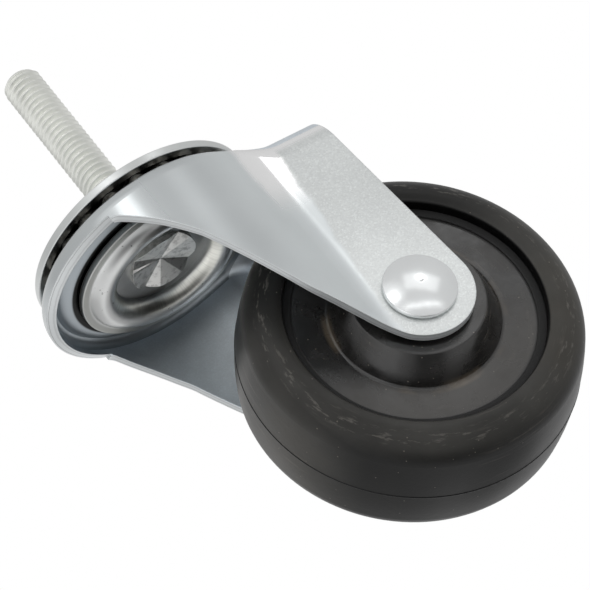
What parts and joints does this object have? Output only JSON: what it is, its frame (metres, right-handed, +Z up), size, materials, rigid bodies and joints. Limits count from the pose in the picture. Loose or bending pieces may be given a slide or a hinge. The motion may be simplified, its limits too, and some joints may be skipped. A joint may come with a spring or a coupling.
{
  "type": "threaded-stem swivel castor",
  "caption": "Swivel castor with a threaded mounting stem, ball-bearing swivel head, pressed sheet-steel fork, riveted axle and a black rubber-tyred wheel.",
  "frame": {"origin": "on the swivel axis, at the mounting face on top of the top race plate", "axes": "+Z up along the threaded stem, +X the way the wheel trails, Y along the axle with the rivet's domed head at -Y"},
  "size_m": [0.101, 0.0606, 0.1486],
  "materials": {
    "stud_zinc": "satin zinc plate",
    "race_zinc": "satin zinc plate",
    "fork_zinc": "bright zinc plate with a fine spangle",
    "rivet_zinc": "satin zinc plate",
    "tube_steel": "drawn, oiled",
    "ball_steel": "polished, greased",
    "hub_plastic": "satin moulded",
    "tyre_rubber": "matt with light scuffs"
  },
  "bodies": {
    "stem_and_races": {"threaded_stem": "stud_zinc", "top_race_plate": "race_zinc", "lower_race_cup": "race_zinc"},
    "fork_body": {"fork": "fork_zinc", "axle_rivet": "rivet_zinc", "axle_sleeve": "tube_steel"},
    "wheel": {"wheel_hub": "hub_plastic", "tyre": "tyre_rubber"},
    "balls": {"upper_ball_01": "ball_steel", "upper_ball_02": "ball_steel", "upper_ball_03": "ball_steel", "upper_ball_04": "ball_steel", "upper_ball_05": "ball_steel", "upper_ball_06": "ball_steel", "upper_ball_07": "ball_steel", "upper_ball_08": "ball_steel", "upper_ball_09": "ball_steel", "upper_ball_10": "ball_steel", "upper_ball_11": "ball_steel", "upper_ball_12": "ball_steel", "upper_ball_13": "ball_steel", "upper_ball_14": "ball_steel", "upper_ball_15": "ball_steel", "upper_ball_16": "ball_steel", "upper_ball_17": "ball_steel", "upper_ball_18": "ball_steel", "upper_ball_19": "ball_steel", "upper_ball_20": "ball_steel", "upper_ball_21": "ball_steel", "upper_ball_22": "ball_steel", "lower_ball_01": "ball_steel", "lower_ball_02": "ball_steel", "lower_ball_03": "ball_steel", "lower_ball_04": "ball_steel", "lower_ball_05": "ball_steel", "lower_ball_06": "ball_steel", "lower_ball_07": "ball_steel", "lower_ball_08": "ball_steel", "lower_ball_09": "ball_steel", "lower_ball_10": "ball_steel", "lower_ball_11": "ball_steel", "lower_ball_12": "ball_steel", "lower_ball_13": "ball_steel", "lower_ball_14": "ball_steel", "lower_ball_15": "ball_steel", "lower_ball_16": "ball_steel", "lower_ball_17": "ball_steel", "lower_ball_18": "ball_steel", "lower_ball_19": "ball_steel", "lower_ball_20": "ball_steel", "lower_ball_21": "ball_steel"}
  },
  "joints": [
    {"name": "swivel", "type": "hinge", "parent": "stem_and_races", "child": "fork_body", "pos_m": [0, 0, 0], "axis": [0, 0, 1], "continuous": true},
    {"name": "wheel_spin", "type": "hinge", "parent": "fork_body", "child": "wheel", "pos_m": [0.0325, 0, -0.0596], "axis": [0, 1, 0], "continuous": true},
    {"name": "ball_orbit", "type": "hinge", "parent": "stem_and_races", "child": "balls", "pos_m": [0, 0, 0], "axis": [0, 0, 1], "continuous": true}
  ],
  "couplings": [
    {"joint": "ball_orbit", "follows": "swivel", "ratio": 0.5}
  ]
}
